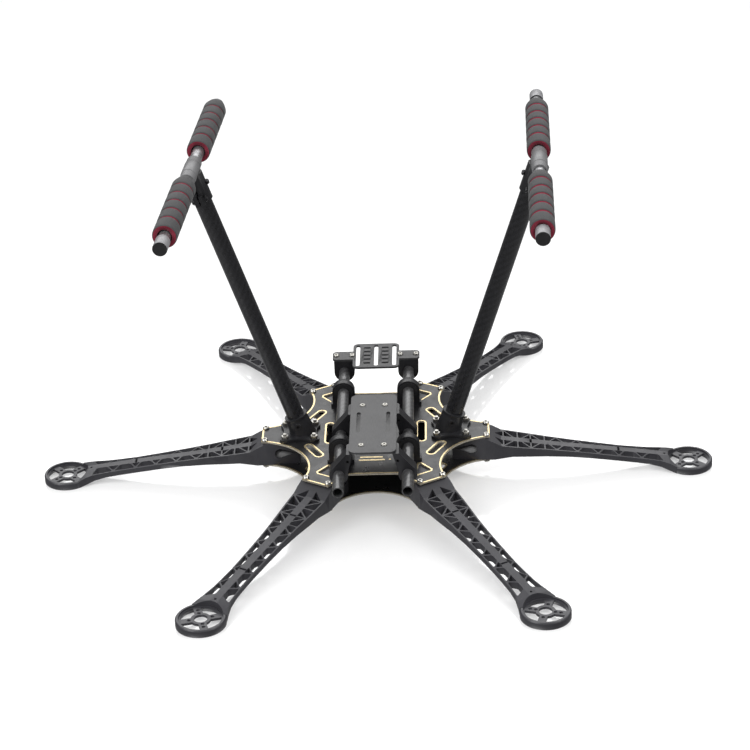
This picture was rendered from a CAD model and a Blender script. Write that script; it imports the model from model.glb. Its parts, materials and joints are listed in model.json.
"""Looks of a bare hexacopter airframe, seen upside down on a white table as it was photographed."""

import json
import math

import bmesh
import bpy
import numpy as np
from mathutils import Matrix, Vector


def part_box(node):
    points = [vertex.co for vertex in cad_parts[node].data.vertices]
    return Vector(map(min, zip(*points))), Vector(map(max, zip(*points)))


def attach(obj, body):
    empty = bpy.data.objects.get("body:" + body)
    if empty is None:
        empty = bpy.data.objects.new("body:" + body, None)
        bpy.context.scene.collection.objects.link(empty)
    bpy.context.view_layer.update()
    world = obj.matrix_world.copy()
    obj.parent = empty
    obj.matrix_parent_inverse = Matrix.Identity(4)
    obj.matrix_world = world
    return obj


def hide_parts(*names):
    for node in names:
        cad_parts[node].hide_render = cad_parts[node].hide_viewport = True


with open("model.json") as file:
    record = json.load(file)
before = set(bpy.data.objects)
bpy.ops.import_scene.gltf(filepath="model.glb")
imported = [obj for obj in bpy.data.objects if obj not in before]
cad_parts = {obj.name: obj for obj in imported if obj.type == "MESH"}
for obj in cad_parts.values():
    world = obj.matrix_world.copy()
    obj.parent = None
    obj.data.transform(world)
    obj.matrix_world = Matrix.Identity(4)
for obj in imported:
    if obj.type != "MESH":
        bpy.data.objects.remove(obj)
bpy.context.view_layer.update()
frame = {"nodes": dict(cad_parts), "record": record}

MM = 0.001
SLOTS = {p["node"]: p["material_slot"] for p in frame["record"]["subparts"]}
BELLY_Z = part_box("bottom_plate")[0].z
DECK_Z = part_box("top_plate")[1].z
MOUNT_TOP_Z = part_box("arm_left")[1].z
PLATE_T = DECK_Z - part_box("top_plate")[0].z
# vertices nearer than this are one vertex that the CAD mesh holds several times
WELD = 0.002 * MM


def new_object(name, data):
    """Object that shows the data, put in the scene."""
    made = bpy.data.objects.new(name, data)
    bpy.context.scene.collection.objects.link(made)
    return made


def mesh_of(name, bm):
    """Mesh with the shape of a bmesh, which is freed."""
    mesh = bpy.data.meshes.new(name)
    bm.to_mesh(mesh)
    bm.free()
    return mesh


# ---------------------------------------------------------------- node trees

class Tree:
    """Node tree of a material or a world, with short calls to add and link its nodes."""

    def __init__(self, owner):
        owner.use_nodes = True
        self.nodes = owner.node_tree.nodes
        self.links = owner.node_tree.links

    def add(self, kind, inputs=None, **settings):
        """New node with its inputs and settings filled in."""
        made = self.nodes.new("ShaderNode" + kind)
        for key, value in settings.items():
            setattr(made, key, value)
        for key, value in (inputs or {}).items():
            self.put(made.inputs[key], value)
        return made

    def put(self, socket, value):
        """Sets a socket to a value, or links it to another node's socket."""
        if isinstance(value, bpy.types.NodeSocket):
            self.links.new(value, socket)
        else:
            socket.default_value = value

    def math(self, operation, *values):
        """Result of a calculation with one to three numbers or sockets."""
        return self.add("Math", dict(enumerate(values)), operation=operation).outputs[0]


class Surface(Tree):
    """A material's node tree, with its shader and the patterns that materials share."""

    def __init__(self, name):
        self.material = bpy.data.materials.new(name)
        super().__init__(self.material)
        self.shader = self.nodes["Principled BSDF"]
        self.output = self.nodes["Material Output"]

    def set(self, **values):
        """Sets the shader's inputs, named with underscores for spaces."""
        for key, value in values.items():
            self.put(self.shader.inputs[key.replace("_", " ")], value)

    def spot(self):
        """Place on the surface in metres, in the piece's own axes."""
        return self.add("TexCoord").outputs["Object"]

    def noise(self, scale, detail, where=None):
        """Noise with the given number of lumps per metre, and detail in octaves."""
        made = self.add("TexNoise", {"Scale": scale, "Detail": detail})
        self.put(made.inputs["Vector"], where or self.spot())
        return made.outputs["Fac"]

    def spread(self, value, low, high):
        """Maps noise, which stays near its middle, on to low..high."""
        made = self.add("MapRange", {"From Min": 0.3, "From Max": 0.7, "To Min": low, "To Max": high})
        self.put(made.inputs["Value"], value)
        return made.outputs["Result"]

    def shade(self, color, factor):
        """Colour times a factor that varies over the surface."""
        made = self.add("VectorMath", {0: color}, operation="SCALE")
        self.put(made.inputs["Scale"], factor)
        return made.outputs["Vector"]

    def mix(self, first, second, factor):
        """Number between two numbers, the second where the factor is 1."""
        made = self.add("Mix", {"Factor": factor, "A": first, "B": second}, data_type="FLOAT")
        return made.outputs["Result"]

    def blend(self, first, second, factor):
        """Colour between two colours, the second where the factor is 1."""
        made = self.add("Mix", {0: factor, 6: first, 7: second}, data_type="RGBA")
        return made.outputs[2]

    def faces_along(self, axis, limit):
        """1 where the surface faces along an object axis, either way, and 0 elsewhere."""
        normal = self.add("SeparateXYZ", {"Vector": self.add("TexCoord").outputs["Normal"]}).outputs[axis]
        return self.math("GREATER_THAN", self.math("ABSOLUTE", normal), limit)

    def bump(self, height, distance, strength, under=None):
        """Bent normal from a height, on top of another bent normal if one is given."""
        made = self.add("Bump", {"Distance": distance, "Strength": strength, "Height": height})
        if under:
            self.put(made.inputs["Normal"], under)
        return made.outputs["Normal"]


# ---------------------------------------------------------------- camera, stage and lights

# the photograph's camera, solved with the aircraft upside down and height 0 at its motor mounts' spokes
CAMERA_AT = (0.0639, -1.8228, 1.0378)
AZIMUTH, ELEVATION, ROLL = (math.radians(a) for a in (-1.96, 27.43, -2.38))
SENSOR_WIDTH_MM = 36
LENS_MM = 113.66
CLIP_END = 50
SPOKES_ABOVE_BELLY = 35 * MM

# the sheets stand clear of the frame by this much, so that they touch nothing
SHEET_GAP = 0.2 * MM
FLOOR_HALF = 4.0
TABLE_HALF = 3.0
SHEET_GLOW = 0.36
# distances from the middle between which a sheet fades into the backdrop
FADE_FROM, FADE_TO = 0.7, 1.5
# how edge on the table is seen, from 0 to 1, where it starts to fade and where it's gone
GRAZE_FROM, GRAZE_TO = 0.74, 0.86
BACKDROP_RADIUS = 14

# the surround's strength at the horizon and at its fullest, and the sine of the angle below for that
SURROUND_LOW, SURROUND_HIGH = 0.1, 0.92
SURROUND_FULL_AT = 0.6
# a sine above the horizon counts for this share of the same one below
SKY_SHARE = 0.25

LIGHT_AIM = Vector((0, 0, 0.2))
# name, place, size and watts: from below for the photograph's view, from above for the others
LIGHTS = (
    ("under_left", (1.5, -1.2, -1.3), (1.2, 1.2), 25),
    ("under_right", (-1.5, -0.6, -1.5), (1.2, 1.2), 20),
    ("under_back", (0.2, 2.3, -1.4), (2.6, 1.2), 22),
    ("over_left", (0.7, -0.8, 2.7), (1.4, 1.4), 42),
    ("over_right", (-0.8, 0.6, 2.6), (1.2, 1.2), 26),
)


def make_camera():
    """The photograph looks down on a frame turned half a turn about Y, so this camera looks up."""
    spokes_z = BELLY_Z + SPOKES_ABOVE_BELLY
    turned = Matrix.Translation((0, 0, spokes_z)) @ Matrix.Rotation(math.pi, 4, "Y")
    aim = (Matrix.Rotation(-AZIMUTH, 4, "Z") @ Matrix.Rotation(math.pi / 2 - ELEVATION, 4, "X")
           @ Matrix.Rotation(ROLL, 4, "Z"))
    data = bpy.data.cameras.new("camera")
    data.sensor_width = SENSOR_WIDTH_MM
    data.lens = LENS_MM
    data.clip_end = CLIP_END
    camera = new_object("camera", data)
    camera.matrix_world = turned @ Matrix.Translation(CAMERA_AT) @ aim
    bpy.context.scene.camera = camera
    bpy.context.scene.view_settings.view_transform = "Standard"


def quad(name, half, z):
    """Square sheet that faces up, half as wide as half says on each side of the origin."""
    mesh = bpy.data.meshes.new(name)
    corners = [(-half, -half, z), (half, -half, z), (half, half, z), (-half, half, z)]
    mesh.from_pydata(corners, [], [(0, 1, 2, 3)])
    return new_object(name, mesh)


def sheet_material(name, grey, rough, ior, fades_edge_on):
    """Pale sheet that shows from its front only, and fades out all round and, if told to, edge on."""
    t = Surface(name)
    t.set(Base_Color=(grey, grey, grey, 1), Roughness=rough, IOR=ior,
          Emission_Color=(1, 1, 1, 1), Emission_Strength=SHEET_GLOW)
    behind = t.add("NewGeometry").outputs["Backfacing"]
    reach = t.add("VectorMath", {0: t.spot()}, operation="LENGTH").outputs["Value"]
    far = t.add("MapRange", {"Value": reach, "From Min": FADE_FROM, "From Max": FADE_TO}).outputs["Result"]
    hidden = t.math("MAXIMUM", behind, far)
    if fades_edge_on:
        graze = t.add("LayerWeight", {"Blend": 0.5}).outputs["Facing"]
        edge_on = t.add("MapRange", {"Value": graze, "From Min": GRAZE_FROM, "From Max": GRAZE_TO})
        hidden = t.math("MAXIMUM", hidden, edge_on.outputs["Result"])
    clear = t.add("BsdfTransparent").outputs[0]
    mix = t.add("MixShader", {"Fac": hidden, 1: t.shader.outputs[0], 2: clear}).outputs[0]
    t.put(t.output.inputs["Surface"], mix)
    return t.material


def backdrop_material():
    """Plain white glow."""
    t = Surface("backdrop_white")
    glow = t.add("Emission", {"Color": (1, 1, 1, 1), "Strength": 1.0}).outputs[0]
    t.put(t.output.inputs["Surface"], glow)
    return t.material


def make_stage():
    """The floor under the frame shows from above; the table that the photograph has, from below."""
    floor = quad("floor", FLOOR_HALF, -SHEET_GAP)
    floor.data.materials.append(sheet_material("floor_white", 0.78, 0.6, 1.3, False))
    table = quad("table", TABLE_HALF, 0)
    table.matrix_world = (Matrix.Translation((0, 0, MOUNT_TOP_Z + SHEET_GAP))
                          @ Matrix.Rotation(math.pi, 4, "Y"))
    table.data.materials.append(sheet_material("table_white", 0.60, 0.1, 1.8, True))
    bm = bmesh.new()
    bmesh.ops.create_uvsphere(bm, u_segments=48, v_segments=24, radius=BACKDROP_RADIUS)
    backdrop = new_object("backdrop", mesh_of("backdrop", bm))
    backdrop.data.materials.append(backdrop_material())
    for sheet in (floor, table, backdrop):
        # seen by the camera only, so that the lights reach the frame from every side
        sheet.visible_shadow = sheet.visible_diffuse = sheet.visible_glossy = False


def make_world():
    """Surround that glows straight below, where the photograph has its overhead light, and less above."""
    world = bpy.data.worlds.new("studio")
    t = Tree(world)
    z = t.add("SeparateXYZ", {0: t.add("TexCoord").outputs["Generated"]}).outputs["Z"]
    height = t.math("MAXIMUM", t.math("MULTIPLY", z, SKY_SHARE), t.math("MULTIPLY", z, -1))
    glow = t.add("MapRange", {"Value": height, "From Max": SURROUND_FULL_AT,
                              "To Min": SURROUND_LOW, "To Max": SURROUND_HIGH})
    background = t.nodes["Background"]
    t.put(background.inputs["Strength"], glow.outputs["Result"])
    t.put(background.inputs["Color"], (1, 1, 1, 1))
    bpy.context.scene.world = world


def area_light(name, at, size, watts):
    """Oblong light that points at LIGHT_AIM."""
    data = bpy.data.lights.new(name, "AREA")
    data.shape = "RECTANGLE"
    data.size, data.size_y = size
    data.energy = watts
    light = new_object(name, data)
    aim = (LIGHT_AIM - Vector(at)).to_track_quat("-Z", "Y").to_matrix().to_4x4()
    light.matrix_world = Matrix.Translation(at) @ aim
    light.visible_camera = False


# ---------------------------------------------------------------- materials

def moulded(name, color, rough, grain=1700):
    """Moulded plastic: fine grain, with slow changes of tone and gloss."""
    t = Surface(name)
    tone = t.spread(t.noise(28, 3), 0.86, 1.14)
    t.set(Base_Color=t.shade(color, tone), Roughness=t.spread(t.noise(90, 3), rough - 0.05, rough + 0.06))
    t.set(Normal=t.bump(t.noise(grain, 3), 0.05 * MM, 0.35))
    return t.material


def circuit_board(name):
    """Black solder mask over glass cloth, whose weave shows faintly; the sawn edges are bare glass-fibre."""
    weave_pitch = 0.9 * MM
    t = Surface(name)
    axes = t.add("SeparateXYZ", {"Vector": t.spot()}).outputs
    cloth = [t.math("SINE", t.math("MULTIPLY", axes[i], 2 * math.pi / weave_pitch)) for i in (0, 1)]
    weave = t.math("MULTIPLY", cloth[0], cloth[1])
    masked = t.faces_along(2, 0.6)
    mask_color = t.shade((0.009, 0.009, 0.010), t.spread(t.noise(60, 3), 0.8, 1.25))
    bare_color = t.shade((0.34, 0.31, 0.25), t.spread(t.noise(500, 3), 0.75, 1.2))
    mask_rough = t.spread(t.noise(140, 4), 0.26, 0.38)
    t.set(Base_Color=t.blend(bare_color, mask_color, masked), Roughness=t.mix(0.6, mask_rough, masked),
          Specular_IOR_Level=0.5)
    t.set(Normal=t.bump(weave, 0.008 * MM, 0.5, under=t.bump(t.noise(900, 2), 0.01 * MM, 0.4)))
    return t.material


def tray_sheet(name):
    """Grey glass-fibre sheet with a brushed matte face."""
    t = Surface(name)
    long_grain = t.add("Mapping", {"Vector": t.spot(), "Scale": (2600, 160, 1200)}).outputs[0]
    grain = t.noise(1.0, 3, where=long_grain)
    t.set(Base_Color=t.shade((0.044, 0.044, 0.046), t.spread(t.noise(45, 3), 0.88, 1.12)),
          Roughness=t.spread(grain, 0.36, 0.5))
    t.set(Normal=t.bump(grain, 0.012 * MM, 0.6))
    return t.material


def woven_carbon(name, start, end, radius, tows, gloss, color):
    """Clear-coated 2/2 twill of so many tows, wrapped round the tube from start to end."""
    t = Surface(name)
    along = (end - start).normalized()
    side = along.cross(Vector((0, 1, 0)))
    if side.length < 0.5:
        # the tube runs nearly along Y
        side = along.cross(Vector((1, 0, 0)))
    side.normalize()
    up = side.cross(along)
    offset = t.add("VectorMath", {0: t.spot(), 1: start}, operation="SUBTRACT").outputs[0]

    def part(axis):
        return t.add("VectorMath", {0: offset, 1: axis}, operation="DOT_PRODUCT").outputs["Value"]

    turn = t.math("ARCTAN2", part(up), part(side))
    tow = 2 * math.pi * radius / tows
    round_the_tube = t.math("MULTIPLY", turn, tows / (2 * math.pi))
    down_the_tube = t.math("DIVIDE", part(along), tow)
    step = t.math("ADD", t.math("FLOOR", round_the_tube), t.math("FLOOR", down_the_tube))
    over = t.math("LESS_THAN", t.math("FLOORED_MODULO", step, 4.0), 2.0)
    ridges = [t.math("ABSOLUTE", t.math("SINE", t.math("MULTIPLY", v, math.pi)))
              for v in (round_the_tube, down_the_tube)]
    height = t.mix(ridges[0], ridges[1], over)
    tone = t.mix(0.85, 1.25, over)
    mottle = t.spread(t.noise(420, 3), 0.82, 1.22)
    t.set(Base_Color=t.shade(color, t.math("MULTIPLY", tone, mottle)),
          Roughness=t.spread(t.noise(500, 3), gloss, gloss + 0.16), Metallic=0.15,
          Coat_Weight=0.5, Coat_Roughness=0.16)
    t.set(Normal=t.bump(height, 0.04 * MM, 0.25))
    return t.material


def metal(name, color, rough):
    """Bare metal with a fine tooth and small changes of tone and gloss."""
    t = Surface(name)
    t.set(Base_Color=t.shade(color, t.spread(t.noise(320, 3), 0.86, 1.1)), Metallic=1.0,
          Roughness=t.spread(t.noise(900, 3), rough - 0.07, rough + 0.09))
    t.set(Normal=t.bump(t.noise(1800, 2), 0.006 * MM, 0.4))
    return t.material


def skid_metal(name):
    """Grey lacquered tube with a mottled, half-polished surface."""
    t = Surface(name)
    blotch = t.noise(150, 5)
    t.set(Base_Color=t.shade((0.34, 0.34, 0.35), t.spread(blotch, 0.6, 1.35)), Metallic=0.75,
          Roughness=t.spread(t.noise(700, 3), 0.24, 0.42))
    t.set(Normal=t.bump(t.noise(1300, 3), 0.012 * MM, 0.4))
    return t.material


def foam_material(name, color):
    """Closed-cell foam: round pores, soft fuzz and uneven tone."""
    pores_per_metre = 1500
    t = Surface(name)
    cells = t.add("TexVoronoi", {"Vector": t.spot(), "Scale": pores_per_metre}).outputs["Distance"]
    fuzz = t.noise(pores_per_metre * 1.7, 4)
    tone = t.math("MULTIPLY", t.spread(t.noise(55, 3), 0.86, 1.14), t.spread(fuzz, 0.85, 1.15))
    t.set(Base_Color=t.shade(color, tone), Roughness=0.95, Specular_IOR_Level=0.25, Sheen_Weight=0.12)
    t.set(Normal=t.bump(cells, 0.14 * MM, 0.45, under=t.bump(fuzz, 0.1 * MM, 0.5)))
    return t.material


def end_cap(name):
    """Pale grey moulding, dark on the faces that close the tube."""
    t = Surface(name)
    pale = t.shade((0.27, 0.27, 0.28), t.spread(t.noise(260, 3), 0.85, 1.12))
    dark = t.shade((0.010, 0.010, 0.011), t.spread(t.noise(260, 3), 0.8, 1.2))
    t.set(Base_Color=t.blend(pale, dark, t.faces_along(1, 0.85)),
          Roughness=t.spread(t.noise(400, 3), 0.34, 0.46))
    t.set(Normal=t.bump(t.noise(1700, 3), 0.04 * MM, 0.35))
    return t.material


def rubber(name):
    """Black matte rubber."""
    t = Surface(name)
    t.set(Base_Color=t.shade((0.010, 0.010, 0.011), t.spread(t.noise(80, 3), 0.85, 1.2)), Roughness=0.62)
    t.set(Normal=t.bump(t.noise(1500, 3), 0.03 * MM, 0.4))
    return t.material


def tube_axis(node):
    """Ends of a long round node's axis, the first one nearer the front, or the top if it stands."""
    points = np.array([v.co for v in frame["nodes"][node].data.vertices], float)
    middle = (points.min(0) + points.max(0)) / 2
    direction = np.linalg.svd(points - points.mean(0), full_matrices=False)[2][0]
    onward = direction[1] if abs(direction[1]) > 0.5 else -direction[2]
    if onward < 0:
        direction = -direction
    reach = (points - middle) @ direction
    return Vector(middle + direction * reach.min()), Vector(middle + direction * reach.max())


# the weave on each pair of tubes
WEAVES = {
    "leg_tube": {"radius": 7.6 * MM, "tows": 28, "gloss": 0.24, "color": (0.012, 0.012, 0.014)},
    "rail": {"radius": 5 * MM, "tows": 18, "gloss": 0.36, "color": (0.050, 0.050, 0.052)},
}


def make_materials():
    """Materials by slot, and by node for the tubes, each of which has a weave along its own axis."""
    made = {
        "circuit_board": circuit_board("solder_mask"),
        "arm_nylon": moulded("arm_nylon", (0.033, 0.0325, 0.038), 0.38),
        "black_plastic": moulded("black_plastic", (0.013, 0.013, 0.015), 0.38, grain=1300),
        "barrel_plastic": moulded("barrel_plastic", (0.17, 0.17, 0.175), 0.38),
        "cap_plastic": end_cap("cap_plastic"),
        "skid_tube": skid_metal("skid_metal"),
        "tray_plate": tray_sheet("tray_sheet"),
        "rubber": rubber("grommet_rubber"),
        "steel": metal("zinc_steel", (0.44, 0.43, 0.40), 0.3),
        "black_steel": metal("black_steel", (0.05, 0.05, 0.053), 0.34),
        "gold_trace": metal("gold_plate", (0.80, 0.66, 0.39), 0.36),
        "foam": foam_material("foam_grey", (0.060, 0.060, 0.062)),
        "foam_core": foam_material("foam_red", (0.20, 0.017, 0.036)),
    }
    for tube, weave in WEAVES.items():
        for side in ("left", "right"):
            node = "%s_%s" % (tube, side)
            start, end = tube_axis(node)
            made[node] = woven_carbon(node + "_weave", start, end, **weave)
    return made


# width in mm by which the edges of the nodes with each slot are softened
SOFT_EDGES = {"arm_nylon": 0.3, "black_plastic": 0.45, "barrel_plastic": 0.5, "cap_plastic": 0.5,
              "steel": 0.15, "black_steel": 0.2, "tray_plate": 0.25, "circuit_board": 0.12}
SHARP_EDGE = math.radians(35)


def finish_cad(materials):
    """Gives every CAD node its material, and softens the moulded and machined edges."""
    for node, piece in frame["nodes"].items():
        material = materials.get(node) or materials[SLOTS[node]]
        for place in piece.material_slots:
            place.material = material
        width = SOFT_EDGES.get(SLOTS[node])
        if width:
            weld = piece.modifiers.new("weld", "WELD")
            weld.merge_threshold = WELD
            soften = piece.modifiers.new("soften", "BEVEL")
            soften.width = width * MM
            soften.segments = 2
            soften.limit_method = "ANGLE"
            soften.angle_limit = SHARP_EDGE
            soften.use_clamp_overlap = True


# ---------------------------------------------------------------- pieces

def add_piece(name, bm, materials, body):
    """Piece with the shape of a bmesh, which is freed, that moves with a body."""
    piece = new_object(name, mesh_of(name, bm))
    for material in materials:
        piece.data.materials.append(material)
    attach(piece, body)
    return piece


# mesh faces as level as this, and as near to its height, make up a plate's flat face
LEVEL = 0.99
SAME_HEIGHT = 0.05 * MM

# a trace starts and ends this far inside its outline, and stands this high
TRACE_NEAR, TRACE_FAR = 0.12 * MM, 1.6 * MM
TRACE_HEIGHT = 0.05 * MM
# how far its foot goes into the board
TRACE_SINK = 0.02 * MM
# its rounded edge: share of the width, and the share of the height at which it starts
SHOULDER = 0.12
EDGE_RISE = 0.6
# share of a pad's height by which its foot goes into the board
PAD_SINK = 0.4
# least cosine between a corner's inward direction and its edges', so that no inset runs away
MITRE_LIMIT = 0.5
# cut-outs no larger than this are screw holes, which have no trace
SCREW_HOLE_R = 3 * MM

# bare bars on the belly, as the x and y of the middle, width and height in mm
BARS = ((3, -45, 19.5, 1.9), (2.5, -50, 22.5, 2.1))
# middle of the round bare dot beside them, in mm, whose radius is 1 mm
DOT_X, DOT_Y = -13, -49.5


def face_loops(node, z, facing):
    """Outlines of a plate's flat face at height z, each a closed list of points with the plate on its left.

    Facing is 1 for a face that looks up and -1 for one that looks down.
    """
    bm = bmesh.new()
    bm.from_mesh(frame["nodes"][node].data)
    bmesh.ops.remove_doubles(bm, verts=bm.verts, dist=WELD)
    # a list, since a set's order differs from run to run
    flat = [f for f in bm.faces
            if f.normal.z * facing > LEVEL and abs(f.calc_center_median().z - z) < SAME_HEIGHT]
    inside = set(flat)
    after = {}
    for face in flat:
        for loop in face.loops:
            if not any(other in inside and other is not face for other in loop.edge.link_faces):
                after[loop.vert.index] = loop.link_loop_next.vert.index
    places = {v.index: v.co.copy() for v in bm.verts}
    bm.free()
    loops = []
    while after:
        first = next(iter(after))
        chain = [first]
        step = after.pop(first)
        while step != first:
            chain.append(step)
            step = after.pop(step)
        loops.append([places[i] for i in chain])
    return loops


def inset_point(points, i, facing, distance):
    """Point i moved into the plate by distance, squarely to both of its edges."""
    here = points[i]
    up = Vector((0, 0, facing))
    sides = [(b - a).normalized() for a, b in ((points[i - 1], here), (here, points[(i + 1) % len(points)]))]
    inward = [up.cross(s) for s in sides]
    middle = (inward[0] + inward[1]).normalized()
    return here + middle * (distance / max(MITRE_LIMIT, middle.dot(inward[0])))


def band(bm, points, facing):
    """Closed band beside an outline, with rounded edges."""
    rise = Vector((0, 0, facing * TRACE_HEIGHT))
    sink = Vector((0, 0, -facing * TRACE_SINK))
    rows = []
    for i in range(len(points)):
        outer = inset_point(points, i, facing, TRACE_NEAR)
        inner = inset_point(points, i, facing, TRACE_FAR)
        shoulder = (inner - outer) * SHOULDER
        section = [outer + sink, outer + rise * EDGE_RISE, outer + shoulder + rise,
                   inner - shoulder + rise, inner + rise * EDGE_RISE, inner + sink]
        rows.append([bm.verts.new(p) for p in section])
    count = len(rows[0])
    for i, row in enumerate(rows):
        following = rows[(i + 1) % len(rows)]
        for k in range(count):
            face = (row[k], row[(k + 1) % count], following[(k + 1) % count], following[k])
            bm.faces.new(face if facing > 0 else face[::-1])


def pad(bm, points, facing):
    """Flat pad whose outline is points, standing on the face that they lie in."""
    rise = Vector((0, 0, facing * TRACE_HEIGHT))
    low = [bm.verts.new(p - rise * PAD_SINK) for p in points]
    high = [bm.verts.new(p + rise) for p in points]
    bm.faces.new(low)
    bm.faces.new(high)
    for i, vert in enumerate(low):
        k = (i + 1) % len(low)
        bm.faces.new((vert, low[k], high[k], high[i]))


def plate_trace(node, z, facing, name, gold, extra=()):
    """Bare gold-plated copper round a plate's outline and its cut-outs, on one face, with any extra pads."""
    bm = bmesh.new()
    for points in face_loops(node, z, facing):
        centre = sum(points, Vector()) / len(points)
        if max((p - centre).length for p in points) < SCREW_HOLE_R:
            continue
        band(bm, points, facing)
    for outline in extra:
        pad(bm, [Vector((x * MM, y * MM, z)) for x, y in outline], facing)
    bmesh.ops.recalc_face_normals(bm, faces=bm.faces)
    add_piece(name, bm, [gold], "airframe")


def make_traces(gold):
    """The traces on both faces of both boards, with the bars and the dot on the belly."""
    marks = [[(x - w / 2, y - h / 2), (x + w / 2, y - h / 2), (x + w / 2, y + h / 2), (x - w / 2, y + h / 2)]
             for x, y, w, h in BARS]
    marks.append([(DOT_X + math.cos(math.radians(a)), DOT_Y + math.sin(math.radians(a)))
                  for a in range(0, 360, 20)])
    plate_trace("bottom_plate", BELLY_Z, -1, "belly_trace_outer", gold, marks)
    plate_trace("bottom_plate", BELLY_Z + PLATE_T, 1, "belly_trace_inner", gold)
    plate_trace("top_plate", DECK_Z, 1, "deck_trace_outer", gold)
    plate_trace("top_plate", DECK_Z - PLATE_T, -1, "deck_trace_inner", gold)


# lengths of a foam sleeve's rings from its square front end to its tapered one, before scaling to fit
RING_LENGTHS = (19, 16, 16, 15, 16, 22)
# profile of one foam ring: share of the ring's length, then radius lost, in mm
RING_SHAPE = ((0.0, 0.8), (0.02, 0.4), (0.06, 0.12), (0.13, 0.0), (0.5, -0.06), (0.87, 0.0), (0.94, 0.12),
              (0.98, 0.4), (1.0, 0.8))
# length of the red gaps between the rings; they are longer on the right skid, as in the photograph
GROOVES = {"left": 2.3 * MM, "right": 3.3 * MM}
GROOVE_DEPTH = 1.2 * MM
FOAM_BORE_R = 6.05 * MM
# the gap's walls lean by this much, which keeps its corners apart
WALL_LEAN = 0.1 * MM
# the sleeve stays this far inside the CAD one, at its ends and all round
END_INSET = 0.1 * MM
SKIN_INSET = 0.08 * MM
# radius lost at the tapered end, where along the last ring that begins, and how sharply it bends
TAPER = 2.9 * MM
TAPER_FROM = 0.45
TAPER_POWER = 1.6
SLEEVE_SEGMENTS = 112


def sleeve_profile(outer, length, groove):
    """Distance along the sleeve, radius and whether it's red, of each ring of vertices from end to end."""
    core = outer - GROOVE_DEPTH
    gaps = (len(RING_LENGTHS) - 1) * groove
    scale = (length - 2 * END_INSET - gaps) / sum(RING_LENGTHS)
    profile = [(END_INSET, FOAM_BORE_R, True), (END_INSET, core, True)]
    at = END_INSET
    for k, share_of_length in enumerate(RING_LENGTHS):
        ring = share_of_length * scale
        last = k == len(RING_LENGTHS) - 1
        for share, lost in RING_SHAPE:
            bend = max(0.0, (share - TAPER_FROM) / (1 - TAPER_FROM)) ** TAPER_POWER
            taper = TAPER * bend if last else 0.0
            cut_face = share == 0 or (share == 1 and not last)
            profile.append((at + share * ring, outer - lost * MM - taper, cut_face))
        at += ring
        if not last:
            profile += [(at + WALL_LEAN, core, True), (at + groove - WALL_LEAN, core, True)]
            at += groove
    profile.append((length - END_INSET, FOAM_BORE_R, False))
    return profile


def foam_sleeve(side, end_name, skin, core):
    """Six grey foam rings with red grooves between them, cut square at the front and tapered at the back."""
    node = "foam_%s_%s" % (side, end_name)
    start, end = tube_axis(node)
    along = (end - start).normalized()
    lo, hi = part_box(node)
    outer = (hi.z - lo.z) / 2 - SKIN_INSET
    profile = sleeve_profile(outer, (end - start).length, GROOVES[side])
    across = along.cross(Vector((0, 0, 1))).normalized()
    up = across.cross(along)
    bm = bmesh.new()
    rows = []
    for s, r, _ in profile:
        row = []
        for j in range(SLEEVE_SEGMENTS):
            a = 2 * math.pi * j / SLEEVE_SEGMENTS
            row.append(bm.verts.new(start + along * s + (across * math.cos(a) + up * math.sin(a)) * r))
        rows.append(row)
    for i in range(len(rows)):
        following = rows[(i + 1) % len(rows)]
        red = profile[i][2] and profile[(i + 1) % len(rows)][2]
        for j in range(SLEEVE_SEGMENTS):
            k = (j + 1) % SLEEVE_SEGMENTS
            face = bm.faces.new((rows[i][j], rows[i][k], following[k], following[j]))
            face.material_index = 1 if red else 0
            face.smooth = True
    bmesh.ops.recalc_face_normals(bm, faces=bm.faces)
    body = "left_skid" if side == "left" else "right_skid"
    piece = add_piece(node.replace("foam", "foam_sleeve"), bm, [skin, core], body)
    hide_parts(node)


make_camera()
make_stage()
make_world()
for light in LIGHTS:
    area_light(*light)
materials = make_materials()
finish_cad(materials)
make_traces(materials["gold_trace"])
for side in ("left", "right"):
    for end_name in ("front", "rear"):
        foam_sleeve(side, end_name, materials["foam"], materials["foam_core"])
